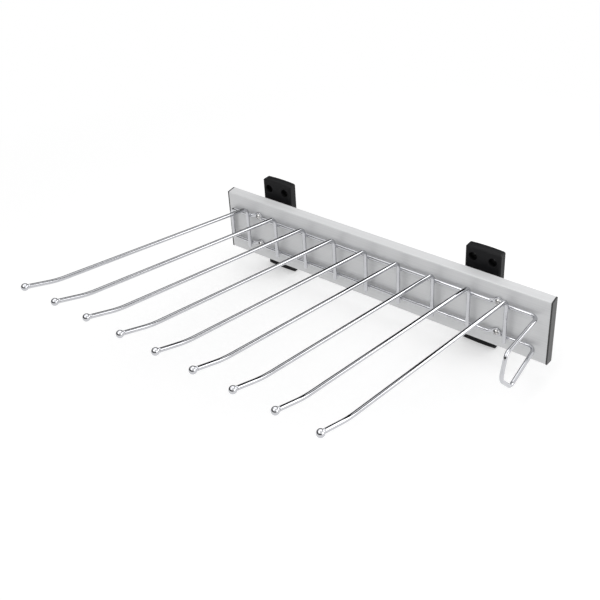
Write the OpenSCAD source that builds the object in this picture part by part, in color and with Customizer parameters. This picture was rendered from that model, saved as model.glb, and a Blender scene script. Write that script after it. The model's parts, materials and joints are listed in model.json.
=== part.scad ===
// Pull-out trouser rack for the side wall of a wardrobe.
// Nine chromed arms are welded to a wire frame that is screwed to an aluminium
// cover. The cover rides on a full-extension ball slide, and two plastic
// brackets hold the slide on the wall.
//
// Frame: x runs along the rail toward the pull-out end, y toward the wall, z up.
// The origin is on the wall, at the centre of the front bracket's back face.
// Inside the modules a place is written as [x, height, distance from the wall],
// and on_wall() turns that into x, y, z.

/* [Cover profile] */
// Length of the aluminium cover
cover_len = 460; // [440:1:500]
// Height of its flat front face
cover_face_h = 84; // [80:1:96]
// How far its two legs reach back from the front face
cover_depth = 12; // [9:0.5:14]
// How much each leg flares outward on its way back
cover_flare = 1.5; // [0.5:0.1:3]
// Wall thickness of the profile
cover_wall = 1.8; // [1.4:0.1:2.4]
// Inward lip along the back edge of each leg
cover_lip = 1.6; // [0.8:0.1:3]
// Bevel along the two front edges
cover_edge = 0.8; // [0.4:0.1:1.2]
// How far the cover runs past the front bracket's centre
cover_front_x = 93.5; // [80:0.5:110]
// Depth of the hollow pad that carries the slide behind the face
pad_depth = 5.5; // [5:0.1:8]
// Height of that pad
pad_h = 18; // [15:0.5:18.5]
// Thickness of the pad's back plate, which takes the slide's screws
pad_plate = 2; // [1.5:0.1:2.5]
// Thickness of the pad's two side walls
pad_wall = 1.5; // [1.2:0.1:2]
// Height of the two solid ribs that take the wire frame's screws
rib_h = 7; // [6:0.5:9]
// Depth of these ribs behind the face
rib_depth = 5; // [4.5:0.1:5.5]

/* [End caps] */
// Thickness of the cap plate
cap_t = 2; // [1.5:0.1:3]
// Bevel round the plate's outer edge
cap_bevel = 0.8; // [0.4:0.1:1.2]
// Length of the two tongues that plug into the profile
plug_len = 6; // [4:0.5:10]
// Thickness of the tongues
plug_t = 3; // [2:0.5:4]

/* [Wall brackets] */
// Distance from the cover's rear end to the rear bracket's centre
bracket_rear_inset = 66.5; // [50:0.5:100]
// Width of a bracket
bracket_w = 45; // [42:0.5:50]
// Full height at the crown of the arched ends
bracket_h = 132; // [128:1:150]
// Thickness of a bracket, wall to rail
bracket_t = 11; // [9:0.5:14]
// Radius of the slightly arched top and bottom
bracket_arch_r = 250; // [120:5:400]
// Bevel round the front face
bracket_bevel = 1.6; // [0.5:0.1:2.2]
// Leg of the chamfer that takes off each corner
bracket_corner = 1.2; // [0.5:0.1:4]
// Front skin and outer wall left by the pockets in the back
bracket_skin = 2.8; // [2:0.1:4]
// Ribs between the pockets
bracket_rib = 2.5; // [1.5:0.1:4]
// Height of the solid band that takes the rail's screws
bracket_band = 16; // [12:1:24]
// Distance from a bracket's sides to the centres of its wall screws
wall_hole_inset_x = 10; // [9:0.1:12]
// Distance from the crown of its ends to these centres
wall_hole_inset_h = 12.7; // [10:0.1:16]
// Diameter of the wall screw holes
wall_hole_d = 4.5; // [3.5:0.1:5.5]
// Diameter of their counterbores
wall_cbore_d = 10.8; // [9:0.1:11.6]
// Depth of their counterbores
wall_cbore_depth = 5; // [3:0.5:6]

/* [Ball slide] */
// Distance from each end of the cover to the end of the outer rail
rail_inset = 5; // [3:0.5:8]
// Height of the slide
slide_h = 45.6; // [45:0.1:48]
// Thickness of the slide, bracket to cover pad
slide_t = 12.7; // [12.4:0.1:14]
// Sheet thickness of the rails
rail_t = 1.2; // [1:0.05:1.3]
// Diameter of the balls
ball_d = 4.76; // [4.5:0.02:4.8]
// Distance from the balls' centre plane to the ends of the race lips
race_lip = 1; // [0.8:0.05:1.2]
// How much farther from the wall the inner balls run than the outer ones
race_step = 1.85; // [1.7:0.05:1.9]
// How much shorter the travel is than the rail
travel_loss = 10; // [6:1:30]
// How much shorter a ball cage strip is than half the outer rail
cage_spare = 25; // [20:1:60]
// Thickness of a cage strip
cage_t = 0.8; // [0.6:0.1:1]
// Width of a cage strip
cage_w = 6; // [5.6:0.1:6.2]
// Balls in one strip
cage_balls = 8; // [4:1:9]
// Distance from a strip's end to its first ball
cage_end = 8; // [6:0.5:12]
// How much farther than it must each cage sits from the closed end
cage_margin = 10; // [4:1:12]
// Width of the stop tabs pressed out of the webs
stop_w = 5; // [4:0.5:6]
// Height in the slide at which the outer pair of stops meets
stop_h = 10; // [8.5:0.5:11]
// Thickness of the closing buffer
buffer_t = 3.7; // [3:0.1:5]
// Height of the closing buffer
buffer_h = 28; // [24:1:32]

/* [Arms] */
// Diameter of all the wire
wire_d = 4.8; // [4:0.1:5]
// Distance from the cover's rear end to the first arm
arm_first = 38; // [30:0.5:45]
// Distance from the cover's front end to the last arm
arm_last = 47.6; // [40:0.1:60]
// How far a leg runs on below the lower long wire
leg_below = 5.5; // [3:0.5:8]
// How far above the upper long wire the leg's line meets the rod's line
leg_above = 11.1; // [10:0.1:18]
// Angle at which the rod rises
rod_angle = 10.7; // [5:0.1:15]
// Length of the last stretch, from the kink in the rod to the ball's centre, seen from above
kink_back = 38; // [25:1:90]
// Angle at which the last stretch rises
tip_angle = 19.6; // [16:0.1:30]
// Distance from the cover's face to the ball's centre
tip_reach = 345; // [340:1:360]
// Radius of the bend from leg to rod
leg_bend_r = 10; // [6:0.5:14]
// Radius of the kink
kink_r = 20; // [10:1:40]
// Diameter of the ball tip
tip_ball_d = 8; // [7:0.1:10]
// Diameter of the flat on the ball that the rod's neck meets
tip_seat_d = 4; // [3.6:0.1:4.4]
// Diameter of the neck between rod and ball
neck_d = 3.6; // [3:0.1:3.8]
// Length of the neck
neck_len = 0.6; // [0.4:0.1:1]
// How far the neck runs on inside the rod
neck_root = 0.6; // [0.4:0.1:1]

/* [Wire frame] */
// Distance between the two long wires
frame_h = 42; // [40:0.5:46]
// Gap between the long wires and the cover's face
frame_gap = 1.8; // [1.2:0.1:2.2]
// Distance from the cover's rear end to the frame's end wire
frame_inset = 6.5; // [5:0.5:12]
// Radius of the two corners at that end
frame_corner_r = 7; // [4:0.5:9]
// Distance from the cover's front end to the handle's plane
handle_inset = 12; // [10:0.5:20]
// Radius of the two bends from the long wires into the handle
handle_root_r = 8; // [5:0.5:9]
// Reach of the handle's top corner from the cover's face
handle_top_reach = 79; // [65:0.5:82]
// Reach of its front corner
handle_front_reach = 88.5; // [86:0.5:100]
// How far the front corner lies below the slide's middle
handle_front_drop = 8; // [4:0.5:12]
// Reach of its lower corner
handle_low_reach = 63; // [55:0.5:68]
// How far the lower corner lies below the slide's middle
handle_low_drop = 34.5; // [30:0.5:38]
// Radius of the handle's top corner
handle_top_r = 8; // [6:0.5:12]
// Radius of the handle's front corner
handle_front_r = 14; // [8:0.5:16]
// Radius of the handle's lower corner
handle_low_r = 12; // [8:0.5:14]
// Diameter of the flattened eyes
eye_d = 11; // [10:0.1:12]
// Thickness of the flattened eyes
eye_t = 2.6; // [2.2:0.1:3]
// Distance of each eye from the outer arm beside it
eye_from_arm = 13.2; // [12:0.1:16]
// How deep the legs are pressed into the long wires by the weld
weld_sink = 0.4; // [0.2:0.05:0.6]

/* [Screws] */
// Diameter of the frame screws
screw_d = 3.5; // [3:0.1:3.9]
// Length of the frame screws under the head
screw_len = 8.5; // [6.5:0.1:8.8]
// Hole in the eyes
eye_hole_d = 4.3; // [4:0.1:4.6]
// Diameter of the frame screws' heads
head_d = 7.6; // [7:0.1:8]
// Height of these heads
head_h = 2.6; // [2:0.1:3]
// Length of each slot of the cross recess
recess_len = 4.4; // [3:0.1:5]
// Width of each slot
recess_w = 0.9; // [0.6:0.1:1.2]
// Depth of the recess
recess_depth = 1.3; // [0.8:0.1:1.6]
// Diameter of the slide's screws
rail_screw_d = 3.9; // [3.5:0.1:4]
// Hole in the rails for them
rail_hole_d = 4.4; // [4.2:0.1:4.8]
// Diameter of their flat heads
rail_head_d = 8; // [7:0.1:9]
// Height of their flat heads
rail_head_h = 1.6; // [1.2:0.1:1.8]
// Distance between the two screws in one bracket
rail_screw_pitch = 24; // [18:1:26]
// Length of the bracket screws under the head
bracket_screw_len = 8.8; // [6:0.1:9]
// Length of the pad screws under the head
pad_screw_len = 5.5; // [4:0.1:6]
// Space left past the end of a screw in a blind bore
bore_spare = 0.5; // [0.3:0.1:1]

/* [Clearances] */
// Ball to race, at the radius
race_gap = 0.04; // [0.02:0.01:0.08]
// Screw in its bore, ball in its cage and weld seams, at the radius
fit_gap = 0.05; // [0.03:0.01:0.1]
// Between members of the slide that pass each other
pass_gap = 0.5; // [0.4:0.05:0.6]
// Left between two stops at the end of the travel
stop_gap = 0.2; // [0.1:0.05:0.5]
// Between the closed rails and the buffer
buffer_gap = 0.3; // [0.2:0.05:0.5]
// Cap tongues in the profile
plug_gap = 0.1; // [0.05:0.01:0.2]

/* [Hidden] */
$fn = 48;
// Overrun of every cut
cut = 1;
// How far a straight wire runs into its bend, and how much thicker the bend is at the radius
bend_run_in = 0.2;
bend_swell = 0.02;
// Sine below which a direction counts as standing straight up
upright = 0.000001;
arm_count = 9;

// Places along the rail
cover_x = cover_front_x - cover_len;
bracket_pitch = -cover_x - bracket_rear_inset;
wall_hole_x = bracket_w / 2 - wall_hole_inset_x;
wall_hole_h = bracket_h / 2 - wall_hole_inset_h;
rail_x = cover_x + rail_inset;
rail_len = cover_len - 2 * rail_inset;
member_x = rail_x + buffer_t + buffer_gap;
member_len = rail_len - buffer_t - buffer_gap;
travel = rail_len - travel_loss;
cage_x = rail_x + travel / 4 + cage_margin;
cage_len = rail_len / 2 - cage_spare;
stop_x = member_x + rail_t + travel / 2 + stop_gap;
frame_x0 = cover_x + frame_inset;
frame_x1 = cover_front_x - handle_inset;
first_arm_x = cover_x + arm_first;
last_arm_x = cover_front_x - arm_last;
arm_pitch = (last_arm_x - first_arm_x) / (arm_count - 1);
eye_xs = [first_arm_x + eye_from_arm, last_arm_x - eye_from_arm];
pad_screw_shares = [0.1, 0.5, 0.9];

// Distances from the wall
face_d = bracket_t + slide_t + pad_depth + cover_wall;
back_d = face_d - cover_depth;
inside_d = face_d - cover_wall;
frame_d = face_d + frame_gap + wire_d / 2;
leg_d = frame_d + wire_d - weld_sink;

// Slide section: heights from the middle, depths from the outer rail's back
groove_r = ball_d / 2 + race_gap;
race_r = groove_r + rail_t;
outer_ball_h = slide_h / 2 - race_r;
inner_ball_h = outer_ball_h - race_r - groove_r;
outer_ball_t = slide_t / 2;
inner_ball_t = outer_ball_t + race_step;
middle_t = rail_t + rail_head_h + pass_gap;
inner_t = middle_t + rail_t + pass_gap;
inner_floor_h = inner_ball_h - race_r;

// Arm and handle heights, from the slide's middle
leg_top = frame_h / 2 + leg_above;
kink_reach = tip_reach - kink_back;
kink_h = leg_top + tan(rod_angle) * (face_d + kink_reach - leg_d);
tip_h = kink_h + tan(tip_angle) * kink_back;
tip_seat = sqrt(pow(tip_ball_d / 2, 2) - pow(tip_seat_d / 2, 2));

// Notch in the rear cap, which passes along the slide
notch_h = slide_h / 2 + pass_gap;
notch_d = bracket_t + slide_t + pass_gap;

// Colours
chrome = [0.82, 0.83, 0.85];
aluminium = [0.72, 0.73, 0.75];
zinc = [0.62, 0.64, 0.66];
plastic = [0.13, 0.13, 0.14];
rubber = [0.2, 0.2, 0.2];
brass = [0.75, 0.65, 0.4];

// Turns [x, height, distance from the wall] into x, y, z
module on_wall() {
    rotate([90, 0, 0]) children();
}

// Extrudes a section drawn as [height, distance from the wall] along the rail
module along(x, length) {
    translate([x, 0, 0]) rotate([90, 0, 90]) linear_extrude(length) children();
}

// Box from its low and high corner
module block(low, high) {
    translate(low) cube(high - low);
}

// Draws its children, and again mirrored below the slide's middle
module both_sides() {
    children();
    mirror([1, 0]) children();
}

// A bent wire is given by its corner points p and their bend radii r. A radius
// of 0 is a free end, and the last point runs on to the first unless both are free.

function unit(v) = v / norm(v);

function before(p, i) = p[(i + len(p) - 1) % len(p)];

function after(p, i) = p[(i + 1) % len(p)];

// Angle by which the wire turns at corner i
function turn(p, i) = acos(unit(p[i] - before(p, i)) * unit(after(p, i) - p[i]));

// Distance from corner i to where its bend begins
function setback(p, r, i) = r[i] == 0 ? 0 : r[i] * tan(turn(p, i) / 2);

// Rotation angles that lay the x and y axes along two given directions
function lay(x, y) =
    let (z = cross(x, y))
    norm([x[0], x[1]]) < upright
        ? [atan2(-x[2] * y[0], y[1]), -90 * sign(x[2]), 0]
        : [atan2(y[2], z[2]), -asin(x[2]), atan2(x[1], x[0])];

// Straight stretch from corner i to the next, running a little into its bends
module straight(p, r, d, i) {
    j = (i + 1) % len(p);
    u = unit(p[j] - p[i]);
    begin = p[i] + u * (setback(p, r, i) - (r[i] > 0 ? bend_run_in : 0));
    end = p[j] - u * (setback(p, r, j) - (r[j] > 0 ? bend_run_in : 0));
    translate(begin) rotate([0, acos(u[2]), atan2(u[1], u[0])])
        cylinder(h = norm(end - begin), d = d);
}

// Bend at corner i, swollen a hair so that it takes in the ends of the straights
module bend(p, r, d, i) {
    u = unit(p[i] - before(p, i));
    w = unit(after(p, i) - p[i]);
    inward = unit(w - u * (w * u));
    translate(p[i] - u * setback(p, r, i) + inward * r[i]) rotate(lay(-inward, u))
        rotate_extrude(angle = turn(p, i)) translate([r[i], 0]) circle(d = d + 2 * bend_swell);
}

module bent_wire(p, r, d) {
    for (i = [0:len(p) - 1]) {
        if (r[i] > 0 || r[(i + 1) % len(p)] > 0) straight(p, r, d, i);
        if (r[i] > 0) bend(p, r, d, i);
    }
}

// Disc whose front edge is bevelled, so that the arched end gets a true bevel
module arch_disc() {
    rotate_extrude() polygon([
        [0, 0],
        [bracket_arch_r, 0],
        [bracket_arch_r, bracket_t - bracket_bevel],
        [bracket_arch_r - bracket_bevel, bracket_t],
        [0, bracket_t]
    ]);
}

module bracket_body() {
    half_w = bracket_w / 2;
    arch_h = bracket_h / 2 - bracket_arch_r;
    side_h = arch_h + sqrt(pow(bracket_arch_r, 2) - pow(half_w, 2));
    diamond = (half_w + side_h - bracket_corner) * sqrt(2);
    intersection() {
        translate([0, arch_h, 0]) arch_disc();
        translate([0, -arch_h, 0]) arch_disc();
        translate([0, bracket_h / 2, 0]) rotate([90, 0, 0]) linear_extrude(bracket_h) polygon([
            [-half_w, 0],
            [half_w, 0],
            [half_w, bracket_t - bracket_bevel],
            [half_w - bracket_bevel, bracket_t],
            [-half_w + bracket_bevel, bracket_t],
            [-half_w, bracket_t - bracket_bevel]
        ]);
        rotate([0, 0, 45]) block([-diamond / 2, -diamond / 2, 0], [diamond / 2, diamond / 2, bracket_t]);
    }
}

// One moulded bracket: arched pad with four counterbored wall holes,
// two blind bores for the rail's screws and pockets with ribs in its back
module bracket(x) {
    x0 = bracket_rib / 2;
    x1 = bracket_w / 2 - bracket_skin;
    h0 = bracket_band / 2;
    h1 = wall_hole_h - wall_cbore_d / 2 - bracket_rib;
    cross_h = (h0 + h1) / 2;
    pocket_t = bracket_t - bracket_skin;
    screw_t = bracket_t + rail_t - bracket_screw_len - bore_spare;
    color(plastic) on_wall() translate([x, 0, 0]) difference() {
        bracket_body();
        for (sx = [-1, 1], sh = [-1, 1]) {
            translate([sx * wall_hole_x, sh * wall_hole_h, -cut]) {
                cylinder(h = bracket_t + 2 * cut, d = wall_hole_d);
                translate([0, 0, cut + bracket_t - wall_cbore_depth])
                    cylinder(h = wall_cbore_depth + cut, d = wall_cbore_d);
            }
            mirror([sx < 0 ? 1 : 0, 0, 0]) mirror([0, sh < 0 ? 1 : 0, 0]) {
                block([x0, h0, -cut], [x1, cross_h - x0, pocket_t]);
                block([x0, cross_h + x0, -cut], [x1, h1, pocket_t]);
            }
        }
        for (sx = [-1, 1])
            translate([sx * rail_screw_pitch / 2, 0, screw_t])
                cylinder(h = bracket_screw_len + bore_spare, r = rail_screw_d / 2 + fit_gap);
    }
}

module bracket_rear() bracket(-bracket_pitch);

module bracket_front() bracket(0);

// Rolled lips round a ball groove on the side of the web
module race(h, t) {
    intersection() {
        translate([h, t]) circle(r = race_r);
        translate([h + race_lip, t - race_r]) square([race_r, 2 * race_r]);
    }
}

module groove(h, t) {
    translate([h, t]) circle(r = groove_r);
}

module outer_section() {
    difference() {
        union() {
            translate([-slide_h / 2, 0]) square([slide_h, rail_t]);
            both_sides() {
                translate([slide_h / 2 - rail_t, 0]) square([rail_t, outer_ball_t]);
                race(outer_ball_h, outer_ball_t);
            }
        }
        both_sides() groove(outer_ball_h, outer_ball_t);
    }
}

module middle_section() {
    low = inner_ball_h + race_lip;
    high = outer_ball_h - race_lip;
    difference() {
        union() {
            translate([-high, middle_t]) square([2 * high, rail_t]);
            both_sides() translate([low, middle_t])
                square([high - low, inner_ball_t + race_r - middle_t]);
        }
        both_sides() {
            groove(outer_ball_h, outer_ball_t);
            groove(inner_ball_h, inner_ball_t);
        }
    }
}

module inner_section() {
    high = inner_ball_h - race_lip;
    difference() {
        union() {
            translate([-high, slide_t - rail_t]) square([2 * high, rail_t]);
            both_sides() translate([inner_floor_h, inner_t])
                square([high - inner_floor_h, slide_t - inner_t]);
        }
        both_sides() groove(inner_ball_h, inner_ball_t);
    }
}

module outer_rail() {
    color(zinc) on_wall() translate([0, 0, bracket_t]) {
        difference() {
            along(rail_x, rail_len) outer_section();
            for (bx = [-bracket_pitch, 0], sx = [-1, 1])
                translate([bx + sx * rail_screw_pitch / 2, 0, -cut])
                    cylinder(h = rail_t + 2 * cut, d = rail_hole_d);
            for (sh = [-1, 1])
                translate([stop_x + rail_t, sh * stop_h - stop_w / 2, -cut])
                    cube([middle_t - rail_t, stop_w, rail_t + 2 * cut]);
        }
        for (sh = [-1, 1])
            translate([stop_x, sh * stop_h - stop_w / 2, 0])
                cube([rail_t, stop_w, middle_t - pass_gap]);
    }
}

module middle_rail() {
    hook_t = rail_t + pass_gap;
    color(zinc) on_wall() translate([0, 0, bracket_t]) {
        difference() {
            along(member_x, member_len) middle_section();
            translate([stop_x + rail_t, -stop_w / 2, middle_t - cut])
                cube([inner_ball_t - middle_t - rail_t, stop_w, rail_t + 2 * cut]);
        }
        for (sh = [-1, 1])
            translate([member_x, sh * stop_h - stop_w / 2, hook_t])
                cube([rail_t, stop_w, middle_t + rail_t - hook_t]);
        translate([stop_x, -stop_w / 2, middle_t]) cube([rail_t, stop_w, inner_ball_t - middle_t]);
    }
}

module inner_rail() {
    hook_t = (inner_t + inner_ball_t) / 2;
    color(zinc) on_wall() translate([0, 0, bracket_t]) {
        difference() {
            along(member_x, member_len) inner_section();
            for (s = pad_screw_shares)
                translate([member_x + s * member_len, 0, slide_t - rail_t - cut])
                    cylinder(h = rail_t + 2 * cut, d = rail_hole_d);
        }
        translate([member_x, -stop_w / 2, hook_t]) cube([rail_t, stop_w, slide_t - hook_t]);
    }
}

function ball_x(i) = cage_x + cage_end + i * (cage_len - 2 * cage_end) / (cage_balls - 1);

// One strip of a ball cage at height h and depth t of the slide
module cage(h, t) {
    color(brass) on_wall() translate([0, h, bracket_t + t]) difference() {
        translate([cage_x, -cage_t / 2, -cage_w / 2]) cube([cage_len, cage_t, cage_w]);
        for (i = [0:cage_balls - 1])
            translate([ball_x(i), cage_t / 2 + cut, 0]) rotate([90, 0, 0])
                cylinder(h = cage_t + 2 * cut, r = ball_d / 2 + fit_gap);
    }
}

module cage_ball_rows(h, t) {
    color(chrome) on_wall() for (s = [-1, 1], i = [0:cage_balls - 1])
        translate([ball_x(i), s * h, bracket_t + t]) sphere(d = ball_d);
}

module outer_cage_top() cage(outer_ball_h, outer_ball_t);

module outer_cage_bottom() cage(-outer_ball_h, outer_ball_t);

module outer_cage_balls() cage_ball_rows(outer_ball_h, outer_ball_t);

module inner_cage_top() cage(inner_ball_h, inner_ball_t);

module inner_cage_bottom() cage(-inner_ball_h, inner_ball_t);

module inner_cage_balls() cage_ball_rows(inner_ball_h, inner_ball_t);

module closing_buffer() {
    color(rubber) on_wall() block(
        [rail_x, -buffer_h / 2, bracket_t + rail_t],
        [rail_x + buffer_t, buffer_h / 2, bracket_t + slide_t - rail_t]
    );
}

// Flat-headed screw that points down along z, with its head from 0 up
module flat_screw(length) {
    translate([0, 0, -length]) cylinder(h = length, d = rail_screw_d);
    difference() {
        cylinder(h = rail_head_h, d = rail_head_d);
        for (a = [0, 90])
            rotate([0, 0, a]) translate([-recess_len / 2, -recess_w / 2, rail_head_h / 2])
                cube([recess_len, recess_w, rail_head_h]);
    }
}

module rail_screws() {
    color(zinc) on_wall() for (bx = [-bracket_pitch, 0], sx = [-1, 1])
        translate([bx + sx * rail_screw_pitch / 2, 0, bracket_t + rail_t])
            flat_screw(bracket_screw_len);
}

module inner_rail_screws() {
    color(zinc) on_wall() for (s = pad_screw_shares)
        translate([member_x + s * member_len, 0, bracket_t + slide_t - rail_t]) mirror([0, 0, 1])
            flat_screw(pad_screw_len);
}

// Upper half of the profile's outline, from the inside round to the front bevel
function cover_half() =
    let (h = cover_face_h / 2)
    let (out = cover_flare / cover_depth)
    let (lip_h = h + cover_flare - cover_wall - cover_lip)
    [
        [h - cover_wall + out * cover_wall, inside_d],
        [h + cover_flare - cover_wall - out * cover_wall, back_d + cover_wall],
        [lip_h, back_d + cover_wall],
        [lip_h, back_d],
        [h + cover_flare, back_d],
        [h + out * cover_edge, face_d - cover_edge],
        [h - cover_edge, face_d]
    ];

function mirrored(p) = [for (i = [len(p) - 1:-1:0]) [-p[i][0], p[i][1]]];

module cover_section() {
    pad_back = inside_d - pad_depth;
    polygon(concat(cover_half(), mirrored(cover_half())));
    both_sides() {
        translate([frame_h / 2 - rib_h / 2, inside_d - rib_depth])
            square([rib_h, rib_depth + cover_wall / 2]);
        translate([pad_h / 2 - pad_wall, pad_back])
            square([pad_wall, pad_depth + cover_wall / 2]);
    }
    translate([-pad_h / 2, pad_back]) square([pad_h, pad_plate]);
}

module cover() {
    color(aluminium) on_wall() difference() {
        along(cover_x, cover_len) cover_section();
        for (x = eye_xs, s = [-1, 1])
            translate([x, s * frame_h / 2, face_d + eye_t - screw_len - bore_spare])
                cylinder(h = screw_len, r = screw_d / 2 + fit_gap);
        for (s = pad_screw_shares)
            translate([member_x + s * member_len, 0, inside_d - pad_depth - cut])
                cylinder(h = pad_plate + 2 * cut, r = rail_screw_d / 2 + fit_gap);
    }
}

// Outline of an end cap, drawn in by the given amount
module cap_outline(inset) {
    h = cover_face_h / 2 - inset;
    polygon([
        [-h, face_d - inset],
        [-h - cover_flare, back_d + inset],
        [h + cover_flare, back_d + inset],
        [h, face_d - inset]
    ]);
}

// End cap at x, whose plate grows toward the side s
module end_cap(x, s, notched) {
    tongue_h0 = frame_h / 2 + rib_h / 2 + plug_gap;
    tongue_h1 = cover_face_h / 2 - cover_wall - plug_gap;
    tongue_d1 = inside_d - plug_gap;
    color(plastic) on_wall() translate([x, 0, 0]) mirror([s < 0 ? 1 : 0, 0, 0]) {
        difference() {
            hull() {
                along(0, cap_t - cap_bevel) cap_outline(0);
                along(0, cap_t) cap_outline(cap_bevel);
            }
            if (notched) block([-cut, -notch_h, back_d - cut], [cap_t + cut, notch_h, notch_d]);
        }
        for (sh = [-1, 1]) mirror([0, sh < 0 ? 1 : 0, 0])
            block([-plug_len, tongue_h0, tongue_d1 - plug_t], [cap_t / 2, tongue_h1, tongue_d1]);
    }
}

module end_cap_rear() end_cap(cover_x, -1, true);

module end_cap_front() end_cap(cover_front_x, 1, false);

// Corners of the closed loop: rear end, upper wire, handle, lower wire
function frame_path() =
    let (h = frame_h / 2)
    [
        [frame_x0, -h, frame_d],
        [frame_x0, h, frame_d],
        [frame_x1, h, frame_d],
        [frame_x1, h, face_d + handle_top_reach],
        [frame_x1, -handle_front_drop, face_d + handle_front_reach],
        [frame_x1, -handle_low_drop, face_d + handle_low_reach],
        [frame_x1, -h, frame_d]
    ];

frame_radii = [
    frame_corner_r,
    frame_corner_r,
    handle_root_r,
    handle_top_r,
    handle_front_r,
    handle_low_r,
    handle_root_r
];

// The wire is pressed flat at four places into eyes that lie on the cover
module wire_frame() {
    ramp_t = frame_d + wire_d / 2 - face_d - eye_t + cut;
    flat_r = (head_d + eye_d) / 4 - fit_gap;
    ramp_r = eye_d / 2 + ramp_t - wire_d / 2;
    color(chrome) on_wall() difference() {
        union() {
            difference() {
                bent_wire(frame_path(), frame_radii, wire_d);
                for (x = eye_xs, s = [-1, 1])
                    translate([x, s * frame_h / 2, face_d + eye_t])
                        cylinder(h = ramp_t, r1 = flat_r, r2 = ramp_r);
            }
            for (x = eye_xs, s = [-1, 1])
                translate([x, s * frame_h / 2, face_d]) cylinder(h = eye_t, d = eye_d);
        }
        for (x = eye_xs, s = [-1, 1])
            translate([x, s * frame_h / 2, face_d - cut]) cylinder(h = eye_t + 2 * cut, d = eye_hole_d);
    }
}

// Round-headed screw with a cross recess, seated on an eye
module frame_screw() {
    dome_r = (pow(head_d / 2, 2) + pow(head_h, 2)) / (2 * head_h);
    translate([0, 0, -screw_len]) cylinder(h = screw_len, d = screw_d);
    difference() {
        intersection() {
            translate([0, 0, head_h - dome_r]) sphere(r = dome_r);
            cylinder(h = head_h, d = head_d);
        }
        for (a = [45, 135])
            rotate([0, 0, a]) translate([-recess_len / 2, -recess_w / 2, head_h - recess_depth])
                cube([recess_len, recess_w, recess_depth + cut]);
    }
}

module frame_screws() {
    color(zinc) on_wall() for (x = eye_xs, s = [-1, 1])
        translate([x, s * frame_h / 2, face_d + eye_t]) frame_screw();
}

// Corners of an arm: foot of the leg, bend, kink, end of the rod
function arm_path(x) =
    let (back = tip_seat + fit_gap + neck_len)
    [
        [x, -frame_h / 2 - leg_below, leg_d],
        [x, leg_top, leg_d],
        [x, kink_h, face_d + kink_reach],
        [x, tip_h - back * sin(tip_angle), face_d + tip_reach - back * cos(tip_angle)]
    ];

// Places its children with z along the last stretch of the rod, at the ball's centre
module at_tip(x) {
    translate([x, tip_h, face_d + tip_reach]) rotate([-tip_angle, 0, 0]) children();
}

// One arm, with a saddle pressed into its leg where it crosses each long wire
module arm(i) {
    x = first_arm_x + (i - 1) * arm_pitch;
    color(chrome) on_wall() difference() {
        union() {
            bent_wire(arm_path(x), [0, leg_bend_r, kink_r, 0], wire_d);
            at_tip(x) translate([0, 0, -tip_seat - fit_gap - neck_len - neck_root])
                cylinder(h = neck_len + neck_root, d = neck_d);
        }
        for (s = [-1, 1])
            translate([x - wire_d, s * frame_h / 2, frame_d]) rotate([0, 90, 0])
                cylinder(h = 2 * wire_d, r = wire_d / 2 + fit_gap);
    }
}

module arm_1() arm(1);

module arm_2() arm(2);

module arm_3() arm(3);

module arm_4() arm(4);

module arm_5() arm(5);

module arm_6() arm(6);

module arm_7() arm(7);

module arm_8() arm(8);

module arm_9() arm(9);

// Ball welded on each rod's end, with a flat where the rod meets it
module ball_tips() {
    color(chrome) on_wall() for (i = [0:arm_count - 1])
        at_tip(first_arm_x + i * arm_pitch) difference() {
            sphere(d = tip_ball_d);
            translate([0, 0, -tip_ball_d]) cylinder(h = tip_ball_d - tip_seat, d = tip_ball_d);
        }
}

bracket_rear();
bracket_front();
outer_rail();
rail_screws();
closing_buffer();
outer_cage_top();
outer_cage_bottom();
outer_cage_balls();
middle_rail();
inner_cage_top();
inner_cage_bottom();
inner_cage_balls();
inner_rail();
inner_rail_screws();
cover();
end_cap_rear();
end_cap_front();
wire_frame();
frame_screws();
arm_1();
arm_2();
arm_3();
arm_4();
arm_5();
arm_6();
arm_7();
arm_8();
arm_9();
ball_tips();
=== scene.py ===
# %% [markdown]
# # A pull-out trouser rack
# The rack hangs on the side wall of a wardrobe. Nine chromed arms are welded to
# a wire frame, the frame is screwed to an aluminium cover, and the cover runs out
# on a ball slide that two black brackets hold on the wall.
# Everything here is in metres, in one frame: x runs along the rail toward the
# pull-out end, y points into the wall, z is up, and the wall itself is at y = 0.
# The solids come from the model, so this lesson makes the camera, the studio and
# the finishes, and its own meshes for the caps, the wires, the tips and the welds.

# %% Load the model
import json
import math
import random
import bmesh
import bpy
from mathutils import Matrix, Vector


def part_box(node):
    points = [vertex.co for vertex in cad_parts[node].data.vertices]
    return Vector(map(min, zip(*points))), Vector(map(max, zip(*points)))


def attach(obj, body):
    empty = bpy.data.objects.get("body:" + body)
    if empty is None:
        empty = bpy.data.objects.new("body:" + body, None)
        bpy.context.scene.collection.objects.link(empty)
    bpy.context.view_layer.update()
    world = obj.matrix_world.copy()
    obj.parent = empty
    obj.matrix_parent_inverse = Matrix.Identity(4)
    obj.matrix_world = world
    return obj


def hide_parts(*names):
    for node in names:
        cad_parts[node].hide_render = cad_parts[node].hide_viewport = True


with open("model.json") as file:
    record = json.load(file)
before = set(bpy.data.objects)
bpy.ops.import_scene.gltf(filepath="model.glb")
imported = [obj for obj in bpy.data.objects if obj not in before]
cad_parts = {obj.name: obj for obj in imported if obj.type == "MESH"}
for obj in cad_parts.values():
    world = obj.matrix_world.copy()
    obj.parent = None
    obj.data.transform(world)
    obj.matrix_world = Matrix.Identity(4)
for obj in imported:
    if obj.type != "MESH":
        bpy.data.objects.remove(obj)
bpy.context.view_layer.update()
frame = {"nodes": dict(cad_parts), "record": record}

# %% [markdown]
# The camera comes first, because every later choice is judged through it. Its
# place and turns were found by fitting the cover's edges, the arms and the ball
# tips to where they lie in the picture. It looks down at the rack from the right.
# The picture's optical centre lies above and to the right of its middle, and a
# shift of the lens gives that without turning the camera.

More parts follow.
